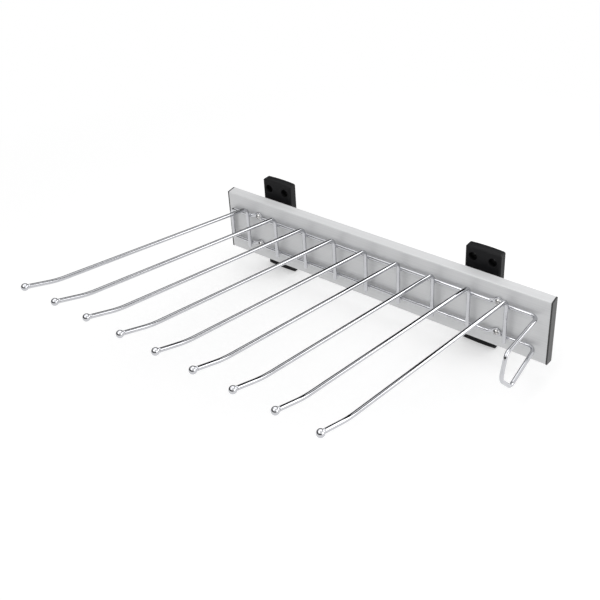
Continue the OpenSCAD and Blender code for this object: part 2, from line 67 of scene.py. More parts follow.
# %% Camera
camera_place = Vector((0.39167, -0.80500, 0.62164))
camera_turn, camera_down, camera_roll = 36.8907, 29.3589, -2.0862
camera_lens, sensor_width = 55.038, 36
picture_side = 600
centre_px, centre_py = 336, 204

camera_data = bpy.data.cameras.new("camera")
camera_data.sensor_width = sensor_width
camera_data.lens = camera_lens
camera_data.shift_x = (picture_side / 2 - centre_px) / picture_side
camera_data.shift_y = (centre_py - picture_side / 2) / picture_side
camera = bpy.data.objects.new("camera", camera_data)
bpy.context.scene.collection.objects.link(camera)
camera.matrix_world = (Matrix.Translation(camera_place)
                       @ Matrix.Rotation(math.radians(camera_turn), 4, "Z")
                       @ Matrix.Rotation(math.radians(90 - camera_down), 4, "X")
                       @ Matrix.Rotation(math.radians(camera_roll), 4, "Z"))
bpy.context.scene.camera = camera
bpy.context.scene.view_settings.view_transform = "Standard"
print("camera shift", round(camera_data.shift_x, 3), round(camera_data.shift_y, 3))

# %% [markdown]
# A few helpers keep the later cells short. A finish is built from small nodes, so
# one helper starts a material with its Principled shader, one adds a node with its
# settings, and one starts a reusable node group with named inputs and outputs.

# %% Helpers for nodes
def add_node(tree, kind, **settings):
    """Adds a shader node and sets its properties by name."""
    node = tree.nodes.new("ShaderNode" + kind)
    for name, value in settings.items():
        setattr(node, name, value)
    return node


def join(tree, source, target):
    """Joins an output socket to an input socket."""
    tree.links.new(source, target)


def new_finish(name, color, metallic, roughness, specular=0.5):
    """Starts a material and returns it with its tree and its Principled shader."""
    finish = bpy.data.materials.new(name)
    finish.use_nodes = True
    tree = finish.node_tree
    shader = tree.nodes["Principled BSDF"]
    shader.inputs["Base Color"].default_value = (*color, 1)
    shader.inputs["Metallic"].default_value = metallic
    shader.inputs["Roughness"].default_value = roughness
    shader.inputs["Specular IOR Level"].default_value = specular
    finish.diffuse_color = (*color, 1)
    return finish, tree, shader


def new_group(name, inputs, outputs):
    """Starts a node group. Inputs are (name, socket type, default), outputs (name, socket type)."""
    group = bpy.data.node_groups.new(name, "ShaderNodeTree")
    for title, kind, default in inputs:
        socket = group.interface.new_socket(title, in_out="INPUT", socket_type=kind)
        socket.default_value = default
    for title, kind in outputs:
        group.interface.new_socket(title, in_out="OUTPUT", socket_type=kind)
    start = group.nodes.new("NodeGroupInput")
    end = group.nodes.new("NodeGroupOutput")
    return group, start, end


def place_group(tree, group, **values):
    """Places a group in a material with its own values. An underscore in a name stands for a space."""
    node = tree.nodes.new("ShaderNodeGroup")
    node.node_tree = group
    for name, value in values.items():
        node.inputs[name.replace("_", " ")].default_value = value
    return node


def seen_rays(tree):
    """Socket that is 1 for rays from the camera, off a mirror or through something clear, else 0."""
    path = add_node(tree, "LightPath")
    camera_or_mirror = add_node(tree, "Math", operation="MAXIMUM")
    any_of_three = add_node(tree, "Math", operation="MAXIMUM")
    join(tree, path.outputs["Is Camera Ray"], camera_or_mirror.inputs[0])
    join(tree, path.outputs["Is Glossy Ray"], camera_or_mirror.inputs[1])
    join(tree, camera_or_mirror.outputs[0], any_of_three.inputs[0])
    join(tree, path.outputs["Is Transmission Ray"], any_of_three.inputs[1])
    return any_of_three.outputs[0]


print("helpers for nodes ready")

# %% [markdown]
# ## The studio
# The picture shows the rack standing on white with a soft shadow. The floor is a
# big plane just under the brackets. Where the camera or a mirror-like surface sees
# it, its white is the sum of a glow and of real shading, and the glow makes up just
# what the shading lacks to pure white. So the open floor is white and only the
# shadow shows. Toward its rim the glow takes over, so no horizon shows. Light that
# bounces off it meets a plain pale floor, so the glow never lights the rack.

# %% Floor
floor_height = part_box("bracket_front")[0].z
floor_half = 6.0
floor_middle_x, floor_middle_y = -0.13, -0.15
shadow_share = 0.72
fade_start, fade_end = 0.35, 0.9
floor_lit = 0.82

floor_mesh = bpy.data.meshes.new("floor")
floor_mesh.from_pydata([(-floor_half, -floor_half, 0), (floor_half, -floor_half, 0),
                        (floor_half, floor_half, 0), (-floor_half, floor_half, 0)], [], [(0, 1, 2, 3)])
floor = bpy.data.objects.new("floor", floor_mesh)
bpy.context.scene.collection.objects.link(floor)
floor.location = (floor_middle_x, floor_middle_y, floor_height)

floor_finish, tree, shader = new_finish("pale_floor", (0.8, 0.8, 0.8), 0, 0.9, 0.0)
glow = add_node(tree, "Emission")
shade = add_node(tree, "BsdfDiffuse")
where = add_node(tree, "TexCoord")
distance = add_node(tree, "VectorMath", operation="LENGTH")
fade = add_node(tree, "MapRange")
fade.inputs["From Min"].default_value = fade_start
fade.inputs["From Max"].default_value = fade_end
fade.inputs["To Min"].default_value = shadow_share
fade.inputs["To Max"].default_value = 0.0
rest = add_node(tree, "Math", operation="MULTIPLY_ADD")
rest.inputs[1].default_value = -floor_lit
rest.inputs[2].default_value = 1.0
seen_floor = add_node(tree, "AddShader")
floor_mix = add_node(tree, "MixShader")
join(tree, where.outputs["Object"], distance.inputs[0])
join(tree, distance.outputs["Value"], fade.inputs["Value"])
join(tree, fade.outputs["Result"], shade.inputs["Color"])
join(tree, fade.outputs["Result"], rest.inputs[0])
join(tree, rest.outputs[0], glow.inputs["Strength"])
join(tree, glow.outputs[0], seen_floor.inputs[0])
join(tree, shade.outputs[0], seen_floor.inputs[1])
join(tree, seen_rays(tree), floor_mix.inputs["Fac"])
join(tree, shader.outputs[0], floor_mix.inputs[1])
join(tree, seen_floor.outputs[0], floor_mix.inputs[2])
join(tree, floor_mix.outputs[0], tree.nodes["Material Output"].inputs["Surface"])
floor_mesh.materials.append(floor_finish)
print("floor at", round(floor_height * 1000, 1), "mm")

# %% [markdown]
# The world is white where it is seen, in mirrors too, and a calmer grey where it
# lights the rack. Keeping the two apart stops the white backdrop from washing the
# rack out.

# %% World
world_light = 0.5

world = bpy.data.worlds.new("studio")
bpy.context.scene.world = world
world.use_nodes = True
tree = world.node_tree
tree.nodes.clear()
lighting = add_node(tree, "Background")
lighting.inputs["Color"].default_value = (1, 1, 1, 1)
lighting.inputs["Strength"].default_value = world_light
backdrop = add_node(tree, "Background")
backdrop.inputs["Color"].default_value = (1, 1, 1, 1)
backdrop.inputs["Strength"].default_value = 1.0
mix = add_node(tree, "MixShader")
out = add_node(tree, "OutputWorld")
join(tree, seen_rays(tree), mix.inputs["Fac"])
join(tree, lighting.outputs[0], mix.inputs[1])
join(tree, backdrop.outputs[0], mix.inputs[2])
join(tree, mix.outputs[0], out.inputs["Surface"])
print("world light", world_light)

# %% [markdown]
# Chrome has no look of its own. It shows the room, so the lamps are large soft
# boxes: one overhead, one low behind the rack that gives the arms their white
# middle, one on the right for the caps and brackets, and one high in front that
# lights the cover and puts the bright spot on each ball.

# %% Soft boxes
rack_middle = Vector((-0.13, -0.12, 0.02))


def soft_box(name, place, width, height, brightness):
    """Area lamp that looks at the rack. Brightness is how bright its face looks, where 1 is white."""
    lamp = bpy.data.lights.new(name, "AREA")
    lamp.shape = "RECTANGLE"
    lamp.size, lamp.size_y = width, height
    lamp.energy = brightness * math.pi * width * height
    box = bpy.data.objects.new(name, lamp)
    bpy.context.scene.collection.objects.link(box)
    box.location = place
    box.rotation_mode = "QUATERNION"
    box.rotation_quaternion = (rack_middle - Vector(place)).to_track_quat("-Z", "Y")
    box.visible_camera = False


soft_box("overhead_box", (-0.25, 0.15, 1.5), 1.5, 1.2, 0.95)
soft_box("back_box", (0.53, 1.45, 0.39), 1.4, 0.84, 2.2)
soft_box("right_box", (1.5, -0.1, 0.6), 1.3, 1.0, 1.6)
soft_box("front_box", (-0.31, -1.14, 1.49), 0.9, 0.8, 2.25)
print("four soft boxes")

# %% [markdown]
# White boxes alone would make chrome vanish on a white ground, so a photographer
# stands black card around the table, bent in wide arcs. Only mirror reflections see
# it. The arc behind the rack draws the dark line along each arm and, as it runs on
# round the left, the dark ring on the ball tips. A high arc over the back box widens
# that line, and the arc on the camera's side puts the dark spot in the balls.

# %% Black cards
card_finish = new_finish("black_card", (0.025, 0.025, 0.025), 0, 1.0, 0.0)[0]
card_distance = 2.4
degrees_per_face = 12


def black_card(name, first_turn, last_turn, low, high):
    """Bent card that only mirrors see. Turns are directions from the rack, 0 behind it, 90 to its right."""
    steps = round((last_turn - first_turn) / degrees_per_face)
    corners = []
    for k in range(steps + 1):
        turn = math.radians(first_turn + (last_turn - first_turn) * k / steps)
        foot = rack_middle + Vector((math.sin(turn), math.cos(turn), 0)) * card_distance
        corners += [(foot.x, foot.y, low), (foot.x, foot.y, high)]
    faces = [(2 * k, 2 * k + 2, 2 * k + 3, 2 * k + 1) for k in range(steps)]
    mesh = bpy.data.meshes.new(name)
    mesh.from_pydata(corners, [], faces)
    mesh.materials.append(card_finish)
    card = bpy.data.objects.new(name, mesh)
    bpy.context.scene.collection.objects.link(card)
    for ray in ("camera", "diffuse", "shadow", "transmission", "volume_scatter"):
        setattr(card, "visible_" + ray, False)


black_card("card_back", -150, 8, -0.06, 1.45)
black_card("card_high", 8, 46, 1.12, 2.0)
black_card("card_camera_side", 120, 210, -0.06, 1.05)
print("three black cards")

# %% [markdown]
# ## Surface effects
# Several finishes share the same small effects, so each effect is a node group.
# Three of them are made from noise, and two helpers hold what those have in common:
# one makes noise whose patches have a given real width, and one spreads a noise
# wider around its middle value.

# %% Helpers for noise
def noise_of_size(group, size, detail):
    """Noise whose patches are about as wide as the size socket says, in metres."""
    where = add_node(group, "TexCoord")
    per_metre = add_node(group, "Math", operation="DIVIDE")
    per_metre.inputs[0].default_value = 1.0
    noise = add_node(group, "TexNoise")
    noise.inputs["Detail"].default_value = detail
    join(group, size, per_metre.inputs[1])
    join(group, where.outputs["Object"], noise.inputs["Vector"])
    join(group, per_metre.outputs[0], noise.inputs["Scale"])
    return noise


def spread_noise(group, noise, contrast, result):
    """Spreads a noise around 0.5 by the contrast, kept between 0 and 1, and joins it to the result."""
    centred = add_node(group, "Math", operation="SUBTRACT")
    centred.inputs[1].default_value = 0.5
    scaled = add_node(group, "Math", operation="MULTIPLY_ADD", use_clamp=True)
    scaled.inputs[2].default_value = 0.5
    join(group, noise.outputs["Fac"], centred.inputs[0])
    join(group, centred.outputs[0], scaled.inputs[0])
    join(group, contrast, scaled.inputs[1])
    join(group, scaled.outputs[0], result)


print("helpers for noise ready")

# %% [markdown]
# The first effect is the fine lines that drawing and rolling leave: noise that is
# stretched along the metal. Its input gives how often it changes along each axis,
# per metre, so a small number means long streaks.

# %% Drawn lines
drawn_lines, start, end = new_group(
    "drawn lines",
    [("Changes per metre", "NodeSocketVector", (3, 900, 900)), ("Contrast", "NodeSocketFloat", 1.0)],
    [("Lines", "NodeSocketFloat")])
where = add_node(drawn_lines, "TexCoord")
stretch = add_node(drawn_lines, "VectorMath", operation="MULTIPLY")
noise = add_node(drawn_lines, "TexNoise")
noise.inputs["Scale"].default_value = 1.0
noise.inputs["Detail"].default_value = 3.0
noise.inputs["Roughness"].default_value = 0.6
join(drawn_lines, where.outputs["Object"], stretch.inputs[0])
join(drawn_lines, start.outputs["Changes per metre"], stretch.inputs[1])
join(drawn_lines, stretch.outputs[0], noise.inputs["Vector"])
spread_noise(drawn_lines, noise, start.outputs["Contrast"], end.inputs["Lines"])
print("group:", drawn_lines.name)

# %% [markdown]
# The second effect is an even grain, as on moulded plastic, cast rubber and the
# frosting of anodised metal. It is fine noise, and its size is about the real
# width of one grain.

# %% Fine grain
fine_grain, start, end = new_group(
    "fine grain",
    [("Grain size", "NodeSocketFloat", 0.0005), ("Contrast", "NodeSocketFloat", 1.0)],
    [("Grain", "NodeSocketFloat")])
noise = noise_of_size(fine_grain, start.outputs["Grain size"], 2.0)
noise.inputs["Roughness"].default_value = 0.55
spread_noise(fine_grain, noise, start.outputs["Contrast"], end.inputs["Grain"])
print("group:", fine_grain.name)

# %% [markdown]
# The third effect finds edges. A Bevel node gives the normal that a rounded edge
# would have, and where it differs from the true normal there is an edge nearby.
# Handling rubs such edges brighter. On the cover the same mask also paints a bright
# highlight line along the edges.

# %% Edge wear and highlight
edge_wear_and_highlight, start, end = new_group(
    "edge wear and highlight",
    [("Reach", "NodeSocketFloat", 0.0006), ("Strength", "NodeSocketFloat", 2.0)],
    [("Wear and highlight", "NodeSocketFloat")])
rounded = add_node(edge_wear_and_highlight, "Bevel", samples=4)
true_normal = add_node(edge_wear_and_highlight, "NewGeometry")
likeness = add_node(edge_wear_and_highlight, "VectorMath", operation="DOT_PRODUCT")
difference = add_node(edge_wear_and_highlight, "Math", operation="SUBTRACT")
difference.inputs[0].default_value = 1.0
wear = add_node(edge_wear_and_highlight, "Math", operation="MULTIPLY", use_clamp=True)
join(edge_wear_and_highlight, start.outputs["Reach"], rounded.inputs["Radius"])
join(edge_wear_and_highlight, rounded.outputs["Normal"], likeness.inputs[0])
join(edge_wear_and_highlight, true_normal.outputs["Normal"], likeness.inputs[1])
join(edge_wear_and_highlight, likeness.outputs["Value"], difference.inputs[1])
join(edge_wear_and_highlight, difference.outputs[0], wear.inputs[0])
join(edge_wear_and_highlight, start.outputs["Strength"], wear.inputs[1])
join(edge_wear_and_highlight, wear.outputs[0], end.inputs["Wear and highlight"])
print("group:", edge_wear_and_highlight.name)

# %% [markdown]
# The last effect is handling marks: soft patches where hands and cloth have left a
# slight film. They shift the colour of five finishes a little, and in two of them,
# the chrome and the balls, also how sharp a reflection is.

# %% Handling marks
handling_marks, start, end = new_group(
    "handling marks",
    [("Patch size", "NodeSocketFloat", 0.03), ("Sharpness", "NodeSocketFloat", 2.5)],
    [("Marks", "NodeSocketFloat")])
noise = noise_of_size(handling_marks, start.outputs["Patch size"], 4.0)
noise.inputs["Distortion"].default_value = 0.6
spread_noise(handling_marks, noise, start.outputs["Sharpness"], end.inputs["Marks"])
print("group:", handling_marks.name)

# %% [markdown]
# A finish uses its masks in three ways: to drift between two colours, to move the
# roughness, and to raise or sink the surface by a tiny depth.

# %% Helpers for finishes
def vary_color(tree, shader, factor, first, second):
    """Mixes two colours by a mask into Base Color."""
    mix = add_node(tree, "Mix", data_type="RGBA")
    mix.inputs["A"].default_value = (*first, 1)
    mix.inputs["B"].default_value = (*second, 1)
    join(tree, factor, mix.inputs["Factor"])
    join(tree, mix.outputs["Result"], shader.inputs["Base Color"])
    return mix


def vary_roughness(tree, shader, factor, low, high):
    """Lets a mask move the roughness between two values."""
    spread = add_node(tree, "MapRange")
    spread.inputs["To Min"].default_value = low
    spread.inputs["To Max"].default_value = high
    join(tree, factor, spread.inputs["Value"])
    join(tree, spread.outputs["Result"], shader.inputs["Roughness"])


def raise_surface(tree, shader, height, depth, strength):
    """Turns a height mask into a bump of that depth in metres."""
    bump = add_node(tree, "Bump")
    bump.inputs["Strength"].default_value = strength
    bump.inputs["Distance"].default_value = depth
    join(tree, height, bump.inputs["Height"])
    join(tree, bump.outputs["Normal"], shader.inputs["Normal"])


print("helpers for finishes ready")

# %% [markdown]
# ## Finishes
# Bright chrome plate over drawn steel wire. The base colour is how much of the
# room it gives back, a little blue. Its reflections are almost sharp, and wide
# handling marks soften them in places so the arms don't look like glass.

# %% Chrome plate
chrome_plate, tree, shader = new_finish("chrome_plate", (0.56, 0.565, 0.585), 1, 0.06)
marks = place_group(tree, handling_marks, Patch_size=0.02, Sharpness=2.0)
lines = place_group(tree, drawn_lines, Changes_per_metre=(1400, 60, 1400), Contrast=1.5)
vary_color(tree, shader, marks.outputs["Marks"], (0.59, 0.595, 0.615), (0.52, 0.525, 0.55))
vary_roughness(tree, shader, marks.outputs["Marks"], 0.045, 0.10)
raise_surface(tree, shader, lines.outputs["Lines"], 0.000004, 0.4)
print("finish:", chrome_plate.name)

# %% [markdown]
# Where two wires are welded the metal was molten and pressed together. The plating
# over the bead is duller and darker than on the smooth wire.

# %% Weld under chrome
weld_chrome, tree, shader = new_finish("weld_chrome", (0.42, 0.42, 0.44), 1, 0.25)
grain = place_group(tree, fine_grain, Grain_size=0.0007, Contrast=2.0)
vary_color(tree, shader, grain.outputs["Grain"], (0.30, 0.30, 0.32), (0.58, 0.58, 0.60))
vary_roughness(tree, shader, grain.outputs["Grain"], 0.15, 0.4)
raise_surface(tree, shader, grain.outputs["Grain"], 0.00015, 0.7)
print("finish:", weld_chrome.name)

# %% [markdown]
# The cover is an extruded aluminium profile, etched and anodised. The oxide layer
# scatters part of the light, so the metal share is only part of the whole, and the
# sheen is wide and soft. The lines from the extrusion die run along its whole
# length, and its edges are painted near white as a highlight line.

# %% Satin aluminium
satin_aluminium, tree, shader = new_finish("satin_aluminium", (0.74, 0.745, 0.75), 0.3, 0.5)
lines = place_group(tree, drawn_lines, Changes_per_metre=(2.5, 1100, 1100), Contrast=2.2)
grain = place_group(tree, fine_grain, Grain_size=0.0004, Contrast=1.5)
wear = place_group(tree, edge_wear_and_highlight, Reach=0.001, Strength=4.0)
mix = vary_color(tree, shader, lines.outputs["Lines"], (0.69, 0.695, 0.705), (0.79, 0.795, 0.80))
# The edge mask lightens the colour toward near white: a painted highlight along the cover's edges.
bright = add_node(tree, "Mix", data_type="RGBA")
bright.inputs["B"].default_value = (0.92, 0.92, 0.93, 1)
join(tree, wear.outputs["Wear and highlight"], bright.inputs["Factor"])
join(tree, mix.outputs["Result"], bright.inputs["A"])
join(tree, bright.outputs["Result"], shader.inputs["Base Color"])
vary_roughness(tree, shader, lines.outputs["Lines"], 0.44, 0.56)
grain_share = 0.35
both = add_node(tree, "Math", operation="MULTIPLY_ADD")
both.inputs[1].default_value = grain_share
join(tree, grain.outputs["Grain"], both.inputs[0])
join(tree, lines.outputs["Lines"], both.inputs[2])
raise_surface(tree, shader, both.outputs[0], 0.00002, 0.5)
print("finish:", satin_aluminium.name)

# %% [markdown]
# The brackets are moulded in black plastic with a fine matt grain. The corners are
# rubbed a little greyer. Their mirror part is held low, because such a grain
# scatters most of it. Screw holes and pockets are painted near black as shade: an
# Ambient Occlusion node that sees only the piece itself tells the open faces from
# the recessed ones, and the recessed ones get this painted shade.

# %% Moulded plastic
moulded_plastic, tree, shader = new_finish("moulded_plastic", (0.009, 0.009, 0.010), 0, 0.5, 0.16)
grain = place_group(tree, fine_grain, Grain_size=0.0006, Contrast=2.0)
wear = place_group(tree, edge_wear_and_highlight, Reach=0.0004, Strength=1.2)
marks = place_group(tree, handling_marks, Patch_size=0.015, Sharpness=2.5)
rubbed = add_node(tree, "Math", operation="MULTIPLY", use_clamp=True)
join(tree, wear.outputs["Wear and highlight"], rubbed.inputs[0])
join(tree, marks.outputs["Marks"], rubbed.inputs[1])
mix = vary_color(tree, shader, rubbed.outputs[0], (0.009, 0.009, 0.010), (0.03, 0.03, 0.031))
look_around = 0.008
sunk_below, open_above = 0.55, 0.95
openness = add_node(tree, "AmbientOcclusion", samples=8, only_local=True)
openness.inputs["Distance"].default_value = look_around
reached = add_node(tree, "MapRange")
reached.inputs["From Min"].default_value = sunk_below
reached.inputs["From Max"].default_value = open_above
# Recessed faces get a near-black colour: painted shade in the screw holes and pockets.
painted_recess_shade = add_node(tree, "Mix", data_type="RGBA")
painted_recess_shade.inputs["A"].default_value = (0.0012, 0.0012, 0.0013, 1)
join(tree, openness.outputs["AO"], reached.inputs["Value"])
join(tree, reached.outputs["Result"], painted_recess_shade.inputs["Factor"])
join(tree, mix.outputs["Result"], painted_recess_shade.inputs["B"])
join(tree, painted_recess_shade.outputs["Result"], shader.inputs["Base Color"])
vary_roughness(tree, shader, grain.outputs["Grain"], 0.42, 0.6)
raise_surface(tree, shader, grain.outputs["Grain"], 0.00006, 0.6)
print("finish:", moulded_plastic.name)

# %% [markdown]
# The front cap is where the hand passes each time the rack is pulled out. It has
# been rubbed smoother than the other mouldings, so seen from the side it turns grey.
# Its base colour is also lighter than the brackets' black: painted light that
# stands in for the brighter light on its side.

# %% Rubbed cap plastic
# Lighter than the brackets' black: painted light for the cap's brighter lit side.
cap_plastic, tree, shader = new_finish("cap_plastic", (0.03, 0.03, 0.031), 0, 0.4, 0.5)
grain = place_group(tree, fine_grain, Grain_size=0.0008, Contrast=2.0)
wear = place_group(tree, edge_wear_and_highlight, Reach=0.0005, Strength=1.5)
vary_color(tree, shader, wear.outputs["Wear and highlight"], (0.03, 0.03, 0.031), (0.05, 0.05, 0.052))
vary_roughness(tree, shader, grain.outputs["Grain"], 0.34, 0.5)
raise_surface(tree, shader, grain.outputs["Grain"], 0.00003, 0.4)
print("finish:", cap_plastic.name)

# %% [markdown]
# The slide is rolled from zinc-plated strip. Rolling leaves lines along it, and the
# plating has a faint blue, patchy shine.

# %% Zinc plate
zinc_plate, tree, shader = new_finish("zinc_plate", (0.58, 0.61, 0.65), 1, 0.34)
marks = place_group(tree, handling_marks, Patch_size=0.012, Sharpness=3.0)
lines = place_group(tree, drawn_lines, Changes_per_metre=(5, 1500, 1500), Contrast=2.0)
vary_color(tree, shader, marks.outputs["Marks"], (0.52, 0.56, 0.61), (0.64, 0.66, 0.68))
vary_roughness(tree, shader, lines.outputs["Lines"], 0.24, 0.42)
raise_surface(tree, shader, lines.outputs["Lines"], 0.00001, 0.5)
print("finish:", zinc_plate.name)

# %% [markdown]
# The ball cages are thin strip with a yellow passivated zinc. Its colour drifts
# from straw to a greenish grey, which tells it apart from the blue rails.

# %% Yellow zinc
yellow_zinc, tree, shader = new_finish("yellow_zinc", (0.62, 0.54, 0.32), 1, 0.38)
marks = place_group(tree, handling_marks, Patch_size=0.008, Sharpness=3.5)
grain = place_group(tree, fine_grain, Grain_size=0.0005, Contrast=1.5)
vary_color(tree, shader, marks.outputs["Marks"], (0.68, 0.55, 0.28), (0.56, 0.55, 0.40))
vary_roughness(tree, shader, grain.outputs["Grain"], 0.30, 0.45)
raise_surface(tree, shader, grain.outputs["Grain"], 0.00001, 0.4)
print("finish:", yellow_zinc.name)

# %% [markdown]
# The balls are ground and polished, with a thin film of grease that dulls them in
# patches.

# %% Polished balls
ball_steel, tree, shader = new_finish("ball_steel", (0.66, 0.66, 0.67), 1, 0.08)
marks = place_group(tree, handling_marks, Patch_size=0.002, Sharpness=3.0)
vary_color(tree, shader, marks.outputs["Marks"], (0.70, 0.70, 0.71), (0.55, 0.54, 0.50))
vary_roughness(tree, shader, marks.outputs["Marks"], 0.05, 0.22)
print("finish:", ball_steel.name)

# %% [markdown]
# The four screws on the frame are nickel plated, a touch warmer and a little duller
# than the chrome beside them.

# %% Nickel plate
nickel_plate, tree, shader = new_finish("nickel_plate", (0.62, 0.615, 0.61), 1, 0.14)
grain = place_group(tree, fine_grain, Grain_size=0.0008, Contrast=2.0)
wear = place_group(tree, edge_wear_and_highlight, Reach=0.0003, Strength=2.0)
vary_color(tree, shader, wear.outputs["Wear and highlight"], (0.56, 0.555, 0.55), (0.78, 0.775, 0.77))
vary_roughness(tree, shader, grain.outputs["Grain"], 0.08, 0.2)
raise_surface(tree, shader, grain.outputs["Grain"], 0.00001, 0.4)
print("finish:", nickel_plate.name)

# %% [markdown]
# The closing buffer is a block of black rubber, matt all over.

# %% Rubber
buffer_rubber, tree, shader = new_finish("buffer_rubber", (0.02, 0.02, 0.02), 0, 0.85, 0.25)
grain = place_group(tree, fine_grain, Grain_size=0.0009, Contrast=2.0)
vary_color(tree, shader, grain.outputs["Grain"], (0.016, 0.016, 0.016), (0.035, 0.034, 0.033))
vary_roughness(tree, shader, grain.outputs["Grain"], 0.75, 0.95)
raise_surface(tree, shader, grain.outputs["Grain"], 0.0001, 0.6)
print("finish:", buffer_rubber.name)

# %% [markdown]
# ## Dressing the solids
# The brackets, slide, cover and screws keep their solids. Each node names a material
# slot in the record, and one table turns slots into finishes. The caps, wires and
# tips are dressed here too, and later cells put their own meshes in their place.

# %% Dress the solids
finish_of_slot = {
    "chrome": chrome_plate, "aluminium": satin_aluminium, "black_plastic": moulded_plastic,
    "rail_steel": zinc_plate, "cage_steel": yellow_zinc, "ball_steel": ball_steel,
    "screw_steel": nickel_plate, "rubber": buffer_rubber,
}
for part in frame["record"]["subparts"]:
    solid = frame["nodes"][part["node"]]
    solid.data.materials.clear()
    solid.data.materials.append(finish_of_slot[part["material_slot"]])

# %% [markdown]
# A moulded or extruded edge is never knife sharp, and the small round is what
# catches the light. The solids arrive with their corners split, so a Weld modifier
# joins them first. Then a Bevel rounds only the sharp edges, and its hardened
# normals keep the flat faces flat.

# %% Soften the edges
join_within = 0.00001
sharp_from = math.radians(28)
edge_round = {"bracket_rear": 0.0005, "bracket_front": 0.0005, "cover": 0.0004, "closing_buffer": 0.0004}


def soften(solid, width):
    """Rounds the sharp edges of a solid by that width."""
    weld = solid.modifiers.new("join split corners", "WELD")
    weld.merge_threshold = join_within
    bevel = solid.modifiers.new("round edges", "BEVEL")
    bevel.width = width
    bevel.segments = 2
    bevel.limit_method = "ANGLE"
    bevel.angle_limit = sharp_from
    bevel.use_clamp_overlap = True
    bevel.harden_normals = True


for name, width in edge_round.items():
    soften(frame["nodes"][name], width)
print("softened", len(edge_round), "solids")

# %% [markdown]
# ## End caps
# Each end of the cover is closed by a thin moulded plate with the cover's own
# outline and two tongues that plug into the profile. From the front only the plate's
# edge shows, as a crisp black line, and it stays crisp because the mould leaves a
# round of just a quarter of a millimetre. The rear plate is notched, so that the
# fixed part of the slide can pass through it.

# %% Plates and tongues
cap_front_d, cap_back_d = 0.031, 0.019
cap_front_half, cap_back_half = 0.042, 0.0435
notch_d, notch_half = 0.0242, 0.0233
tongue_heights, tongue_depths, tongue_length = (0.0246, 0.0401), (0.0261, 0.0291), 0.006
cap_round = 0.00025
plain_outline = [(-cap_back_half, cap_back_d), (-cap_front_half, cap_front_d),
                 (cap_front_half, cap_front_d), (cap_back_half, cap_back_d)]
notched_outline = plain_outline + [(notch_half, cap_back_d), (notch_half, notch_d),
                                   (-notch_half, notch_d), (-notch_half, cap_back_d)]


def add_prism(bm, outline, first_x, last_x):
    """Closed prism of an outline in (height, distance from the wall) between two x."""
    ends = [[bm.verts.new((x, -depth, height)) for height, depth in outline] for x in (first_x, last_x)]
    count = len(outline)
    for k in range(count):
        m = (k + 1) % count
        bm.faces.new((ends[0][k], ends[0][m], ends[1][m], ends[1][k]))
    bm.faces.new(list(reversed(ends[0])))
    bm.faces.new(ends[1])


def mesh_of(bm, name):
    """Turns a finished bmesh into a mesh."""
    mesh = bpy.data.meshes.new(name)
    bm.to_mesh(mesh)
    bm.free()
    return mesh


def end_plate(name, outline, inner_x, outer_x):
    """Mesh of a cap plate with its two tongues, from the cover's end outward."""
    inward = math.copysign(tongue_length, inner_x - outer_x)
    bm = bmesh.new()
    add_prism(bm, outline, inner_x, outer_x)
    for side in (-1, 1):
        low, high = (side * h for h in tongue_heights)
        near, far = tongue_depths
        add_prism(bm, [(low, near), (low, far), (high, far), (high, near)], inner_x + inward, inner_x)
    bmesh.ops.recalc_face_normals(bm, faces=bm.faces)
    return mesh_of(bm, name)


print("cap outlines:", len(plain_outline), "and", len(notched_outline), "corners")

# %% [markdown]
# A new piece needs two things besides its mesh: a finish and a body to ride on.
# One helper gives both.

# %% Add the caps
def add_piece(name, mesh, finish, body):
    """Puts a mesh in the scene with its finish, on the body that carries it."""
    mesh.materials.append(finish)
    piece = bpy.data.objects.new(name, mesh)
    bpy.context.scene.collection.objects.link(piece)
    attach(piece, body)
    return piece


cover_low, cover_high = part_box("cover")
rear_low, front_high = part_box("end_cap_rear")[0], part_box("end_cap_front")[1]
rear_cap = add_piece("rear_cap", end_plate("rear_cap", notched_outline, cover_low.x, rear_low.x),
                     moulded_plastic, "carriage")
front_cap = add_piece("front_cap", end_plate("front_cap", plain_outline, cover_high.x, front_high.x),
                      cap_plastic, "carriage")
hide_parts("end_cap_rear")
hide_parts("end_cap_front")
for cap in (rear_cap, front_cap):
    soften(cap, cap_round)
print("caps", round((cover_low.x - rear_low.x) * 1000, 2), "mm thick")

# %% [markdown]
# ## The bent wire frame
# One wire makes the whole frame: up the rear end, along the top, out into the
# handle, back along the bottom. A wire like this is best made as a sweep: first its
# centre line, with true round bends, then a ring of points carried along it.
# The corner points and bend radii are those of the model, and each corner below is
# written with its radius.

# %% The wire's route
wire_d = 0.0048
face_d = 0.0310
long_wire_d = 0.0352
frame_half = 0.021
frame_rear_x, handle_x = -0.3600, 0.0815
handle_top_reach, handle_front_reach, handle_low_reach = 0.079, 0.0885, 0.063
handle_front_drop, handle_low_drop = 0.008, 0.0345


def at(x, height, depth):
    """A place given by x, height and distance from the wall."""
    return Vector((x, -depth, height))


frame_corners = [
    (at(frame_rear_x, -frame_half, long_wire_d), 0.007),
    (at(frame_rear_x, frame_half, long_wire_d), 0.007),
    (at(handle_x, frame_half, long_wire_d), 0.008),
    (at(handle_x, frame_half, face_d + handle_top_reach), 0.008),
    (at(handle_x, -handle_front_drop, face_d + handle_front_reach), 0.014),
    (at(handle_x, -handle_low_drop, face_d + handle_low_reach), 0.012),
    (at(handle_x, -frame_half, long_wire_d), 0.008),
]
print(len(frame_corners), "corners")

# %% [markdown]
# At each corner the route follows an arc that touches both straights. The arc is
# cut into steps of four degrees, fine enough for chrome, where every facet would
# show in the reflection.

